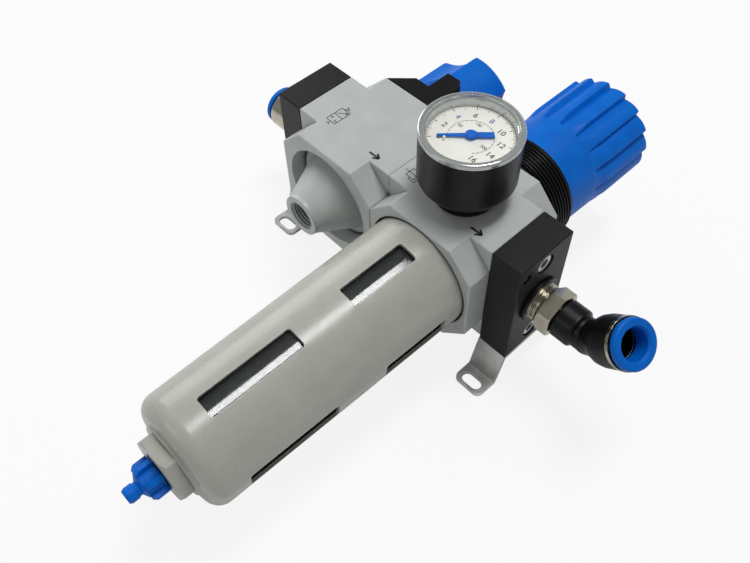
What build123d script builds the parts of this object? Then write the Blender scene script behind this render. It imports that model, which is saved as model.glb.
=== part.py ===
from build123d import *
import math
import os

os.makedirs("parts", exist_ok=True)

# Compressed-air service unit: a manual on-off valve module and a filter regulator module
# side by side, between two connecting plates that hang on a pair of wall feet.
# Frame: +X is the flow direction, -Y the front (gauge side), +Z up (knobs).
# Origin: centre of the four foot slots, on the wall plane, at the height of the port axis.

# ---- module blocks, mm
module_width = 55.0  # grid of one module along the flow
body_depth = 55.0
body_half_height = 25.8
arm_half_height = 15.0  # half height of the square side arms
corner_cut = 11.5  # 45 degree cut of the upright corners above and below the arms
edge_round = 0.7
axis_depth = 26.5  # from the front face back to the axis of knobs and bowl
port_r = 7.5  # flow passages

# ---- connecting plates and wall feet
plate_thickness = 14.2
plate_depth = 56.7
wall_gap = 16.8  # from the back of a plate to the wall
strap_thickness = 1.5
strap_overhang = 14.5  # height of a foot lug above or below the plate
slot_width = 5.2
slot_length = 9.6
slot_height = 25.5  # of a slot's centre above or below the port axis
screw_inset = 7.0  # plate screws, from the front and the back edge
screw_r = 2.5
screw_head_r = 4.25
screw_head_height = 5.0
screw_sink = 5.6  # depth of the counterbore for a screw head
stud_length = 22.0  # of a stud between the two modules
pin_height = -10.4  # coding pin below the front screw
pin_r = 2.3

# ---- general clearances
thread_gap = 0.05  # radial, where a threaded piece is drawn plain
running_gap = 0.06  # radial, between a shaft and its bearing
side_gap = 0.3  # radial, between pieces that only pass each other

# ---- filter bowl, heights from the port axis
collar_r = 26.3  # round neck on top of the regulator body
collar_top = 30.0
guard_top_r = 24.9
guard_bottom_r = 23.4
guard_wall = 1.5
guard_gap = 0.8
guard_entry = 4.5  # how far the guard enters the body
counterbore_depth = 6.0
guard_bottom = -144.0
guard_round = 6.5
guard_floor = 2.4
hex_across_flats = 24.6
hex_height = 6.5
window_width = 9.0
window_turn = 9.2  # degrees, window centre from the front towards the outlet
window_count = 4
upper_window = (-65.7, -34.8)
lower_window = (-129.0, -89.0)
bowl_wall = 1.8
bowl_gap = 0.35  # radial, between bowl and guard
bowl_top = -12.6
bowl_floor_gap = 1.0  # between the floors of guard and bowl
bowl_flange_height = 1.3
neck_r = 6.8
drain_bore_r = 4.4
ring_section_r = 0.86  # section radius of the bowl seal

# ---- filter set and regulating valve
floor_height = -12.0  # underside of the body's inner floor
chamber_r = 10.0
seat_outer_r = 8.0
seat_bore_r = 5.0
seat_height = 3.0
stem_r = 2.0
poppet_r = 6.6
poppet_height = 3.0
cage_r = 12.0
cage_bottom = -24.5
vane_r = 19.6
shroud_r = 17.8  # dark sleeve that hangs from the vane ring around the element
shroud_bottom = -59.0
element_r = 14.5
element_bore_r = 10.0
element_bottom = -70.0
baffle_r = 17.5
rod_r = 2.5

# ---- diaphragm, spring cage and pressure knob
diaphragm_height = 17.0  # underside of the diaphragm
diaphragm_thickness = 1.2
diaphragm_r = 23.0
chamber_top_r = 19.0
bonnet_thread_r = 24.6
thread_depth = 0.8
thread_pitch = 1.6
bonnet_tube_r = 19.6
bonnet_top = 82.0
bonnet_cap = 4.0
spring_bore_r = 15.5
spring_mean_r = 11.2
spring_wire_r = 1.6
spring_turns = 7
spring_top = 64.0
nut_height = 5.0
nut_ear = 2.0
screw_thread_r = 4.0
screw_flange_r = 8.0
drive_square = 8.0
knob_rim = 43.3
knob_rim_r = 22.7
knob_rib_start = 60.5
knob_top = 96.0
knob_tip_r = 24.2
knob_valley_r = 22.7
knob_lobes = 16
knob_bore_r = 20.2
knob_roof = 3.0

# ---- gauge on the front of the regulator, lengths outward from the front face
gauge_r = 19.4
gauge_back = 8.0
collar_r = 12.6  # sleeve round the stem's hexagon
gauge_case_front = 32.2
gauge_front = 34.2
gauge_wall = 1.6
gauge_round = 4.0
stem_boss_r = 8.6
stem_thread_r = 4.8
gauge_play = 0.6  # radial, between the case's inside and what it holds
dial_front = 29.6
dial_thickness = 0.6
needle_length = 12.4
needle_tail = 8.4
needle_tail_half = 1.4
needle_tip_half = 0.5
arbor_r = 0.8

# ---- on-off valve
valve_chamber_r = 15.0
plug_bottom = -12.0
plug_top = 14.0
spindle_r = 5.0
cover_top = 35.0
cover_r = 24.0
lock_tab_height = 47.4
lock_tab_thickness = 3.6
valve_knob_bottom = 37.5
valve_knob_top = 70.0
valve_knob_r = 22.0
scallop_r = 30.0
scallop_distance = 46.3
scallop_count = 3
scallop_turn = -126.0  # degrees, direction of the first scallop
pocket_r = 23.3
pocket_depth = 9.0
cone_foot_r = 18.6
cone_end = 40.6  # below the port axis
cone_end_r = 9.4
exhaust_r = 6.58
vent_r = 5.5  # passage from the plug down to the exhaust

# ---- push-in fittings
tube_r = 6.05
socket_length = 9.0
inlet_end = 90.4  # outer end of the inlet ring, from the module joint
ring_r = 8.9
ring_flange = 2.4
ring_travel = 0.8
release_depth = 5.0  # sleeve of a release ring inside the fitting
fitting_thread_r = 8.3
fitting_hex = 17.5
hex_start = 5.4  # from the plate face to the hexagon of the outlet nipple
hex_length = 6.6
elbow_corner = 25.8  # from the plate face to the corner of the elbow
elbow_angle = 45.0
elbow_turn = 7.5  # degrees, swivel of the elbow below straight forward
elbow_leg = 25.5
elbow_leg_r = 8.2
elbow_end_r = 10.2
elbow_ring_r = 9.8

front_y = -(wall_gap + plate_depth)
axis_y = front_y + axis_depth
port_y = front_y + plate_depth / 2
regulator = Pos(module_width / 2, axis_y, 0)
valve = Pos(-module_width / 2, axis_y, 0)
port_offset = port_y - axis_y  # of the port axis behind the module axis
front_screw_offset = screw_inset - axis_depth
back_screw_offset = plate_depth - screw_inset - axis_depth
to_front = Rot(90, 0, 0)  # turns a piece on +Z to point at the front
to_right = Rot(0, 90, 0)
to_left = Rot(0, -90, 0)


def save(node, shape):
    """Write one named sub-part."""
    export_step(shape, os.path.join("parts", node + ".step"))


def rod(radius, low, high):
    """Round bar on the Z axis between two heights."""
    return Pos(0, 0, (low + high) / 2) * Cylinder(radius, high - low)


def tube(outer, inner, low, high):
    """Round tube on the Z axis between two heights."""
    return rod(outer, low, high) - rod(inner, low - 1, high + 1)


def turned(points):
    """Solid of revolution from (radius, height) corners."""
    outline = Polyline([(r, 0, z) for r, z in points], close=True)
    return revolve(make_face(outline), Axis.Z)


def block(x_range, y_range, z_range):
    """Box between three pairs of limits."""
    centre = [sum(pair) / 2 for pair in (x_range, y_range, z_range)]
    size = [pair[1] - pair[0] for pair in (x_range, y_range, z_range)]
    return Pos(*centre) * Box(*size)


def hexagon(across_flats, low, high):
    """Hexagonal bar on the Z axis between two heights."""
    outline = RegularPolygon(across_flats / math.sqrt(3), 6)
    return extrude(Pos(0, 0, low) * outline, high - low)


def coil(mean_r, wire_r, low, high, turns):
    """Helical spring between two heights, its wire ends included."""
    rise = high - low - 2 * wire_r
    path = Helix(rise / turns, rise, mean_r)
    section = Plane(path @ 0, z_dir=path % 0) * Circle(wire_r)
    return Pos(0, 0, low + wire_r) * sweep(section, path, is_frenet=True)


# ---- the two module blocks
def module_block():
    """Block with square side arms and cut upright corners, around its own knob axis."""
    half = module_width / 2
    front = -axis_depth
    back = body_depth - axis_depth
    cut = corner_cut
    plan = Polyline(
        (-half + cut, front), (half - cut, front), (half, front + cut), (half, back - cut),
        (half - cut, back), (-half + cut, back), (-half, back - cut), (-half, front + cut),
        close=True,
    )
    core = extrude(make_face(plan), body_half_height, both=True)
    core = fillet(core.edges(), edge_round)
    arms = block((-half, half), (front, back), (-arm_half_height, arm_half_height))
    arms = chamfer(arms.edges(), edge_round / 2)
    return core + arms


def stud_holes(inner):
    """Holes for the plate screws and module studs, in both side faces."""
    holes = []
    for side in (-1, 1):
        for y in (front_screw_offset, back_screw_offset):
            depth = module_width / 2 - inner
            place = Pos(side * (inner + depth / 2), y, 0) * to_right
            holes.append(place * Cylinder(screw_r + thread_gap, depth))
    return holes


seal_groove_r = port_r + 2.6
seal_section = 0.9
stud_reach = stud_length / 2 + 0.5


def seal_groove():
    """Groove around the port in the left face, which holds a face seal."""
    groove = tube(seal_groove_r + seal_section, seal_groove_r - seal_section, 0, 2 * seal_section)
    return Pos(-module_width / 2, port_offset, 0) * to_right * groove


bowl_bore_r = guard_top_r - guard_wall - bowl_gap - 0.6
bowl_seat_r = bowl_bore_r + side_gap
inlet_turn_x = -16.5


def regulator_body():
    shape = module_block() + rod(collar_r, 0, collar_top)
    low = -body_half_height
    cuts = [
        rod(guard_top_r + guard_gap, low - 1, low + counterbore_depth),
        rod(bowl_seat_r, low - 1, floor_height),
        rod(seat_outer_r + thread_gap, floor_height - 1, floor_height + seat_height),
        rod(seat_bore_r, floor_height, 0),
        rod(chamber_r, floor_height + seat_height + 1, diaphragm_height),
        rod(chamber_top_r, diaphragm_height - 4, diaphragm_height + 1),
        rod(diaphragm_r + 2 * thread_gap, diaphragm_height, collar_top + 1),
        Pos(0, port_offset, 0) * to_right * rod(port_r, 0, module_width),
        Pos(0, port_offset, 0) * to_left * rod(port_r, -inlet_turn_x - 3, module_width),
        Pos(inlet_turn_x - 2, port_offset, 0) * rod(3.6, floor_height - 1, 0),
        to_front * rod(stem_thread_r + thread_gap, chamber_r - 2, axis_depth + 1),
        seal_groove(),
    ]
    return shape - cuts - stud_holes(module_width / 2 - stud_reach)


def valve_body():
    low = -body_half_height
    cuts = [
        rod(valve_chamber_r, plug_bottom - side_gap, body_half_height + 1),
        rod(vent_r, low - 1, plug_bottom),
        rod(pocket_r, low - 1, low + pocket_depth),
        Pos(0, port_offset, 0) * to_right * Cylinder(port_r, module_width + 1),
    ]
    return module_block() - cuts - stud_holes(module_width / 2 - stud_reach) - seal_groove()


# ---- connecting plates, screws, feet
def end_plate(side):
    """Connecting plate on the outer side of a module; side is -1 or 1."""
    inner = side * module_width
    outer = side * (module_width + plate_thickness)
    x_range = (min(inner, outer), max(inner, outer))
    plate = block(x_range, (front_y, front_y + plate_depth), (-arm_half_height, arm_half_height))
    plate = chamfer(plate.edges(), edge_round / 2)
    middle = (inner + outer) / 2
    across = plate_thickness + 2
    for y in (front_y + screw_inset, front_y + plate_depth - screw_inset):
        plate -= Pos(middle, y, 0) * to_right * Cylinder(screw_r + 2 * thread_gap, across)
        sink = Pos(outer - side * screw_sink / 2, y, 0) * to_right
        plate -= sink * Cylinder(screw_head_r + side_gap, screw_sink)
    pin_hole = Pos(outer - side * screw_sink / 2, front_y + screw_inset, pin_height) * to_right
    plate -= pin_hole * Cylinder(pin_r + thread_gap, screw_sink)
    plate -= Pos(middle, port_y, 0) * to_right * Cylinder(fitting_thread_r + thread_gap, across)
    for z in foot_screw_heights:
        place = Pos(middle, front_y + plate_depth, z) * to_front
        plate -= place * rod(foot_screw_r + thread_gap, -1, 9.5)
    return plate


foot_screw_heights = (-8.5, 8.5)
foot_screw_r = 2.0


def plate_screw(side, y):
    """Socket head screw from the outer face of a plate into its module."""
    seat = module_width + plate_thickness - screw_sink
    head = rod(screw_head_r, 0, screw_head_height)
    head = chamfer(head.edges().sort_by(Axis.Z)[-1], 0.4)
    head -= hexagon(4.0, 2.4, screw_head_height + 1)
    shank = rod(screw_r, -(seat - module_width + stud_reach - 1), 0)
    turn = to_right if side > 0 else to_left
    return Pos(side * seat, y, 0) * turn * (head + shank)


def coding_pin(side):
    length = screw_sink - 0.9
    bottom = module_width + plate_thickness - screw_sink
    pin = chamfer(rod(pin_r, 0, length).edges().sort_by(Axis.Z)[-1], 0.5)
    turn = to_right if side > 0 else to_left
    return Pos(side * bottom, front_y + screw_inset, pin_height) * turn * pin


def foot_profile(half):
    """Closed outline of the bent strap in the Y-Z plane, for the upper or lower half."""
    t = strap_thickness
    plate_back = -wall_gap
    bend = arm_half_height + 0.5
    step = slot_height - 5.6
    end = arm_half_height + strap_overhang
    corners = [
        (plate_back, 0), (plate_back, bend - 0.4), (-t, step - 0.4), (-t, end),
        (0, end), (0, step - 1.4), (plate_back + t, bend - 1.4), (plate_back + t, 0),
    ]
    return [(0, y, half * z) for y, z in corners]


def wall_foot(side):
    """Zinc-plated strap behind a plate, with a slotted lug above and below."""
    middle = side * (module_width + plate_thickness / 2)
    strap = None
    for half in (-1, 1):
        face = make_face(Polyline(foot_profile(half), close=True))
        leg = extrude(face, plate_thickness / 2, both=True, dir=(1, 0, 0))
        corners = leg.edges().filter_by(Axis.Y).group_by(Axis.Z)[0 if half < 0 else -1]
        leg = fillet(corners, 3.0)
        strap = leg if strap is None else strap + leg
        slot = extrude(SlotOverall(slot_length, slot_width), 2 * strap_thickness, both=True)
        strap -= Pos(0, 0, half * slot_height) * to_front * slot
    for z in foot_screw_heights:
        strap -= Pos(0, -wall_gap, z) * to_front * Cylinder(foot_screw_r + side_gap, 6)
    return Pos(middle, 0, 0) * strap


def foot_screw(side, z):
    """Pan head screw that holds a strap to the back of a plate."""
    head = rod(3.6, 0, 2.2)
    head = fillet(head.edges().sort_by(Axis.Z)[-1], 0.9)
    head -= block((-0.5, 0.5), (-2, 2), (1.2, 3)) + block((-2, 2), (-0.5, 0.5), (1.2, 3))
    shank = rod(foot_screw_r, -strap_thickness - 8, 0)
    middle = side * (module_width + plate_thickness / 2)
    return Pos(middle, -wall_gap + strap_thickness, z) * Rot(-90, 0, 0) * (head + shank)


def module_stud(y_offset):
    stud = rod(screw_r, -stud_length / 2, stud_length / 2)
    stud = chamfer(stud.edges().filter_by(GeomType.CIRCLE), 0.4)
    return Pos(0, axis_y + y_offset, 0) * to_right * stud


def face_seal(x):
    """Ring seal in the groove around the port, flush with the face that holds it."""
    return Pos(x + seal_section, port_y, 0) * to_right * Torus(seal_groove_r, seal_section - 0.02)


# ---- filter set
def guard_radius(height):
    """Outer radius of the tapered guard."""
    share = (-body_half_height - height) / (-body_half_height - guard_bottom)
    return guard_top_r + (guard_bottom_r - guard_top_r) * max(0.0, share)


def guard_top():
    return -body_half_height + guard_entry


def window_cutters():
    cutters = []
    for low, high in (upper_window, lower_window):
        for index in range(window_count):
            turn = window_turn + index * 360 / window_count
            hole = block((-window_width / 2, window_width / 2), (-40, -15), (low, high))
            hole = fillet(hole.edges().filter_by(Axis.Y), 1.2)
            cutters.append(Rot(0, 0, turn) * hole)
    return cutters


def bowl_guard():
    top = guard_top()
    shell = turned([
        (0, guard_bottom), (guard_bottom_r, guard_bottom),
        (guard_top_r, -body_half_height), (guard_top_r, top), (0, top),
    ])
    shell = fillet(shell.edges().sort_by(Axis.Z)[0], guard_round)
    inner = turned([
        (0, guard_bottom + guard_floor), (guard_bottom_r - guard_wall, guard_bottom + guard_floor),
        (guard_top_r - guard_wall, -body_half_height), (guard_top_r - guard_wall, top + 1), (0, top + 1),
    ])
    inner = fillet(inner.edges().sort_by(Axis.Z)[0], guard_round - guard_wall)
    step = turned([
        (0, guard_bottom - 1.2), (hex_across_flats / 2 + 2.2, guard_bottom - 1.2),
        (hex_across_flats / 2 + 3.4, guard_bottom + 0.1), (0, guard_bottom + 0.1),
    ])
    nut = hexagon(hex_across_flats, guard_bottom - hex_height, guard_bottom)
    nut &= turned([
        (0, guard_bottom - hex_height), (hex_across_flats / 2, guard_bottom - hex_height),
        (hex_across_flats / 2 + 2.4, guard_bottom - hex_height + 1.6),
        (hex_across_flats / 2 + 2.4, guard_bottom), (0, guard_bottom),
    ])
    shell = shell - inner + step + nut
    shell -= rod(neck_r + side_gap, guard_bottom - hex_height - 1, guard_bottom + guard_floor + 1)
    return shell - window_cutters()


def bowl_radius(height):
    return guard_radius(height) - guard_wall - bowl_gap


bowl_bottom = guard_bottom + guard_floor + bowl_floor_gap


def bowl():
    flange_low = guard_top() + 0.05
    outer = turned([
        (0, bowl_bottom), (bowl_radius(bowl_bottom) - 4.5, bowl_bottom),
        (bowl_radius(bowl_bottom) - 0.4, bowl_bottom + 5.5), (bowl_radius(-80), -80),
        (bowl_bore_r, guard_top() - 4.5), (bowl_bore_r, flange_low),
        (guard_top_r - 0.3, flange_low), (guard_top_r - 0.3, flange_low + bowl_flange_height),
        (bowl_bore_r, flange_low + bowl_flange_height), (bowl_bore_r, bowl_top), (0, bowl_top),
    ])
    inner = turned([
        (0, bowl_bottom + 2.4), (bowl_radius(bowl_bottom) - 6.5, bowl_bottom + 2.4),
        (bowl_radius(bowl_bottom) - 0.4 - bowl_wall, bowl_bottom + 7),
        (bowl_radius(-80) - bowl_wall, -80), (bowl_bore_r - bowl_wall, guard_top() - 4.5),
        (bowl_bore_r - bowl_wall, bowl_top + 1), (0, bowl_top + 1),
    ])
    neck = rod(neck_r, guard_bottom - hex_height + 0.4, bowl_bottom + 1)
    groove = tube(bowl_bore_r + 1, bowl_bore_r - 1.5, bowl_seal_height - 1.1, bowl_seal_height + 1.1)
    shape = outer - inner + neck - rod(drain_bore_r, guard_bottom - hex_height - 1, bowl_bottom - 1.4)
    return shape - rod(2.4, bowl_bottom - 2, bowl_bottom + 3) - groove


bowl_seal_height = bowl_top - 2.6


def bowl_seal():
    return Pos(0, 0, bowl_seal_height) * Torus(bowl_bore_r - 1.5 + ring_section_r, ring_section_r)


drain_knob_top = guard_bottom - hex_height - 0.3


def drain_knob():
    """Finned drain nozzle; its sleeve screws into the neck of the bowl."""
    low = drain_knob_top
    core = turned([
        (0, low - 13.2), (2.5, low - 13.2), (3.1, low - 12.2), (3.1, low - 9.4), (2.7, low - 9.0),
        (2.7, low - 8.2), (5.2, low - 6.8), (5.6, low), (drain_bore_r - thread_gap, low),
        (drain_bore_r - thread_gap, low + 6.0), (0, low + 6.0),
    ])
    for index in range(6):
        outline = Polyline(
            (4.4, 0, low), (7.4, 0, low), (7.4, 0, low - 5.2), (6.2, 0, low - 6.6), (4.4, 0, low - 6.6),
            close=True,
        )
        core += Rot(0, 0, 15 + 60 * index) * extrude(make_face(outline), 1.1, both=True)
    return core - rod(1.4, low - 14, low + 5.0) - rod(2.9, low + 3.0, low + 7.0)


def drain_stem():
    """Valve pin above the nozzle; it closes the hole in the bowl's floor."""
    low = drain_knob_top + 3.05
    seat = bowl_bottom - 1.5 - drain_seal_height
    stem = rod(2.8, low, low + 1.6) + rod(1.6, low, seat) + rod(3.6, low + 3.2, seat)
    return stem


drain_seal_height = 0.9


def drain_seal():
    seat = bowl_bottom - 1.5 - drain_seal_height
    return tube(3.6, 1.0, seat, seat + drain_seal_height)


def valve_cage():
    """Guide under the floor that carries the poppet, the spring and the filter rod."""
    shape = rod(cage_r, cage_bottom, floor_height)
    shape -= rod(poppet_r + 0.5, cage_bottom + 2.2, floor_height + 1)
    for index in range(4):
        port = Pos(0, 0, -18.2) * Rot(0, 0, 45 + 90 * index) * to_right * rod(2.6, 4, cage_r + 1)
        shape -= port
    return shape - rod(rod_r + thread_gap, cage_bottom - 1, cage_bottom + 3)


def swirl_vane():
    """Ring with slanted blades that sets the incoming air spinning."""
    low, high = cage_bottom, floor_height - 3.0
    ring = tube(cage_r + 2.0, cage_r + 0.15, low, high) + tube(vane_r, cage_r + 0.15, low, low + 1.6)
    ring += tube(shroud_r, shroud_r - 1.4, shroud_bottom, low + 1.0)
    for index in range(12):
        blade = block((cage_r + 1.6, vane_r - 0.4), (-0.6, 0.6), (-4.2, 4.2))
        blade = Pos(0, 0, (low + high) / 2) * Rot(30, 0, 0) * blade
        blade &= rod(vane_r, low + 0.5, high)
        ring += Rot(0, 0, 30 * index) * blade
    return ring


def filter_element():
    return tube(element_r, element_bore_r, element_bottom, cage_bottom)


def baffle():
    """Dished plate below the element, with a skirt that keeps the sump calm."""
    low = element_bottom
    dish = turned([
        (rod_r + thread_gap, low - 2.4), (6, low - 2.4), (baffle_r - 2, low - 7.0), (baffle_r, low - 7.0),
        (baffle_r - 1.5, low), (rod_r + thread_gap, low),
    ])
    for index in range(8):
        notch = Pos(baffle_r, 0, low - 6) * Box(4, 3, 4)
        dish -= Rot(0, 0, 45 * index) * notch
    return dish


def filter_rod():
    """Tie rod from the cage down to the nut under the baffle."""
    nut_top = element_bottom - 2.45
    shape = rod(rod_r, nut_top - 6.0, cage_bottom + 2.0)
    return shape + hexagon(8.0, nut_top - 4.0, nut_top)


# ---- regulating valve and spring cage
def valve_seat():
    return tube(seat_outer_r, seat_bore_r - 0.6, floor_height, floor_height + seat_height)


def poppet():
    top = floor_height - 0.05
    body = rod(poppet_r, top - poppet_height, top) + rod(3.2, top - poppet_height - 3.2, top - 1)
    return body - rod(stem_r + thread_gap, top - 2.0, top + 1)


def valve_stem():
    top = hub_bottom - 0.05
    return chamfer(rod(stem_r, floor_height - 2.0, top).edges().filter_by(GeomType.CIRCLE), 0.3)


hub_bottom = diaphragm_height - 2.0
plate_top = diaphragm_height + diaphragm_thickness + 2.4


def diaphragm():
    low = diaphragm_height
    t = diaphragm_thickness
    return turned([
        (6.1, low), (14.6, low), (15.6, low - 1.6), (17.2, low - 1.6), (18.2, low), (diaphragm_r, low),
        (diaphragm_r, low + t), (17.6, low + t), (16.8, low - 0.4), (16.0, low - 0.4), (15.2, low + t),
        (6.1, low + t),
    ])


def diaphragm_plate():
    """Spring plate riveted through the middle of the diaphragm."""
    low = diaphragm_height
    t = diaphragm_thickness
    return turned([
        (0, hub_bottom), (11.5, hub_bottom), (11.5, low), (6.05, low), (6.05, low + t), (14.0, low + t),
        (14.0, plate_top + 1.2), (13.2, plate_top + 1.2), (13.2, plate_top), (9.0, plate_top),
        (8.2, plate_top + 2.5), (0, plate_top + 2.5),
    ])


def main_spring():
    return coil(spring_mean_r, spring_wire_r, plate_top, spring_top, spring_turns)


def poppet_spring():
    top = floor_height - 0.05 - poppet_height
    return coil(4.4, 0.5, cage_bottom + 2.2, top, 5)


def spring_nut():
    """Travelling nut above the spring; its ears keep it from turning."""
    disc = rod(spring_bore_r - side_gap, spring_top, spring_top + nut_height)
    hub = rod(7.8, spring_top - 4, spring_top)
    for side in (-1, 1):
        x = side * (spring_bore_r - 1.3 + nut_ear / 2)
        disc += Pos(x, 0, spring_top + nut_height / 2) * Box(nut_ear + 2, 5.0, nut_height)
    return disc + hub - rod(screw_thread_r + running_gap, spring_top - 5, spring_top + nut_height + 1)


def adjusting_screw():
    cap = bonnet_top - bonnet_cap
    shape = rod(screw_thread_r, spring_top - 14, cap) + rod(screw_flange_r, cap - 3.05, cap - 0.05)
    shape += rod(screw_thread_r + 1.5, cap - 1, bonnet_top + 0.4)
    square = Pos(0, 0, bonnet_top + 5.2) * Box(drive_square, drive_square, 9.6)
    return shape + square


def thread_profile(low, high, outer):
    """Corners of a fine ribbed outline from low to high."""
    count = int((high - low) / thread_pitch)
    corners = []
    for index in range(count):
        z = low + index * thread_pitch
        corners += [(outer - thread_depth, z), (outer - thread_depth, z + 0.25 * thread_pitch)]
        corners += [(outer, z + 0.5 * thread_pitch), (outer, z + 0.75 * thread_pitch)]
    return corners + [(outer - thread_depth, low + count * thread_pitch)]


def bonnet():
    """Spring cage: plug in the body's neck, ribbed collar below the knob, tube and cap inside it."""
    clamp = diaphragm_height + diaphragm_thickness
    collar_low = collar_top
    ribs = thread_profile(collar_low + 0.4, knob_rim - 0.6, bonnet_thread_r)
    corners = [(spring_bore_r, clamp), (diaphragm_r, clamp), (diaphragm_r, collar_low)]
    corners += [(bonnet_thread_r, collar_low)] + ribs
    corners += [
        (bonnet_thread_r - thread_depth, knob_rim - 0.4), (bonnet_tube_r, knob_rim - 0.4),
        (bonnet_tube_r, bonnet_top - 1.0), (bonnet_tube_r - 1.0, bonnet_top),
        (screw_thread_r + 1.5 + running_gap, bonnet_top),
        (screw_thread_r + 1.5 + running_gap, bonnet_top - bonnet_cap),
        (spring_bore_r, bonnet_top - bonnet_cap),
    ]
    shape = turned(corners)
    grooves = block(
        (-spring_bore_r - nut_ear, spring_bore_r + nut_ear), (-2.8, 2.8),
        (spring_top - 12, spring_top + nut_height + 2),
    )
    return shape - grooves


def knob_outline(radius_in, radius_out, lobes):
    """Closed outline of convex lobes that meet in shallow valleys."""
    arcs = []
    step = 2 * math.pi / lobes
    for index in range(lobes):
        angles = [step * (index + share) for share in (0, 0.5, 1)]
        radii = (radius_in, radius_out, radius_in)
        points = [(r * math.cos(a), r * math.sin(a)) for r, a in zip(radii, angles)]
        arcs.append(ThreePointArc(*points))
    return make_face(Wire(arcs))


def regulator_knob():
    """Cup over the spring cage: smooth skirt, then lobes up to the roof."""
    skirt = turned([
        (0, knob_rim), (knob_rim_r, knob_rim), (knob_valley_r + 0.4, knob_rib_start),
        (knob_valley_r - 0.1, knob_top), (0, knob_top),
    ])
    lobes = extrude(Pos(0, 0, knob_rib_start) * knob_outline(knob_valley_r, knob_tip_r, knob_lobes),
                    knob_top - knob_rib_start)
    envelope = turned([
        (0, knob_rib_start), (knob_tip_r + 1, knob_rib_start), (knob_tip_r + 1, knob_top - 2.2),
        (knob_tip_r - 1.6, knob_top), (0, knob_top),
    ])
    hub = rod(8.0, bonnet_top + 1.4, knob_top - 1)
    shape = skirt + (lobes & envelope) - rod(knob_bore_r, knob_rim - 1, knob_top - knob_roof) + hub
    socket = Pos(0, 0, (bonnet_top + knob_top - knob_roof) / 2)
    depth = knob_top - knob_roof - bonnet_top
    size = drive_square + 2 * side_gap
    return shape - socket * Box(size, size, depth)


# ---- gauge, built on +Z outward from the front face
case_bore_r = gauge_r - gauge_wall
gauge_bezel_r = gauge_r + 0.25
dial_r = case_bore_r - gauge_play


def gauge_case():
    cup = rod(gauge_r, gauge_back, gauge_case_front)
    cup = fillet(cup.edges().sort_by(Axis.Z)[0], gauge_round)
    hollow = rod(case_bore_r, gauge_back + 2.0, gauge_case_front + 1)
    hollow = fillet(hollow.edges().sort_by(Axis.Z)[0], gauge_round - gauge_wall)
    cup -= hollow + rod(stem_boss_r - 3.5 + thread_gap, gauge_back - 1, gauge_back + 3)
    return cup + tube(collar_r, collar_r - 2.4, side_gap, gauge_back + 0.5)


def gauge_stem():
    """Threaded stem with a hexagon between body and case."""
    thread = rod(stem_thread_r, -11.0, 0.4)
    nut = hexagon(2 * stem_boss_r - 1.6, 0.4, gauge_back)
    boss = rod(stem_boss_r - 3.5, gauge_back, boss_top)
    socket = block((0, loop_r + 1.4), (-4.0, 0), (gauge_back + 2.3, boss_top))
    return thread + nut + boss + Rot(0, 0, loop_start) * socket - rod(1.5, -12, gauge_back + 4)


boss_top = gauge_back + 6.0
loop_r = case_bore_r - 2.4  # of the pressure tube inside the case
loop_start = -110.0
loop_end = 150.0


def gauge_bezel():
    return turned([
        (dial_r - 0.1, gauge_front - 0.6), (dial_r + 0.5, gauge_front), (gauge_bezel_r - 0.8, gauge_front),
        (gauge_bezel_r, gauge_front - 0.9), (gauge_bezel_r, gauge_case_front),
        (dial_r - 0.1, gauge_case_front),
    ])


def gauge_lens():
    return rod(dial_r - 0.15, gauge_front - 2.2, gauge_front - 1.0)


def gauge_dial():
    disc = rod(dial_r, dial_front - dial_thickness, dial_front)
    stop = Pos(needle_length - 2.5, 0, 0) * rod(0.45, dial_front, dial_front + 1.6)
    stop = Rot(0, 0, needle_rest_turn + stop_offset) * stop
    return disc + stop - rod(arbor_r + 0.3, dial_front - 2, dial_front + 0.5)


needle_rest_turn = 225.0  # degrees on the dial from +X, anticlockwise
needle_height = 0.7  # of the needle's underside above the dial
stop_offset = 9.0


def gauge_needle():
    outline = Polyline(
        (-needle_tail, -needle_tail_half), (0, -needle_tail_half), (0, -2 * needle_tip_half),
        (needle_length, -needle_tip_half), (needle_length, needle_tip_half), (0, 2 * needle_tip_half),
        (0, needle_tail_half), (-needle_tail, needle_tail_half), close=True,
    )
    low = dial_front + needle_height
    arm = extrude(Pos(0, 0, low) * make_face(outline), 0.35)
    hub = turned([
        (0, low - 0.4), (2.0, low - 0.4), (2.3, low), (2.3, low + 0.7), (1.6, low + 1.2), (0, low + 1.2),
    ])
    shape = arm + hub - rod(arbor_r, low - 1, low + 0.6)
    return Rot(0, 0, needle_rest_turn) * shape


pinion_r = 1.6
sector_r = 9.6
sector_height = 20.0
frame_low = 16.0
frame_high = 24.0
sector_pivot = pinion_r + sector_r + 0.05
sector_spread = 70.0


def pinion_arbor():
    """Arbor that carries the needle, with the pinion that the sector turns."""
    arbor = rod(arbor_r - 0.02, frame_low + 0.3, dial_front + needle_height + 0.6)
    return arbor + rod(pinion_r, sector_height - 1.2, sector_height + 1.2)


sector_place = Pos(0, -sector_pivot, 0)


def sector_gear():
    """Sector on its own pivot; its rim turns the pinion."""
    reach = 2 * sector_r
    half = math.radians(sector_spread / 2)
    fan = Circle(sector_r) - Circle(sector_r - 1.6)
    fan &= make_face(Polyline(
        (0, 0), (-reach * math.sin(half), reach), (reach * math.sin(half), reach), close=True,
    ))
    arm = Pos(0, sector_r / 2) * Rectangle(1.8, sector_r - 1)
    body = extrude(Pos(0, 0, sector_height - 0.4) * (fan + arm + Circle(1.8)), 0.8)
    pivot = rod(0.6, frame_low + 0.3, frame_high + 1.3)
    return sector_place * Rot(0, 0, sector_rest_turn) * (body + pivot)


sector_rest_turn = -22.5  # degrees, so that the pinion stays on the rim over the whole sweep


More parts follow.
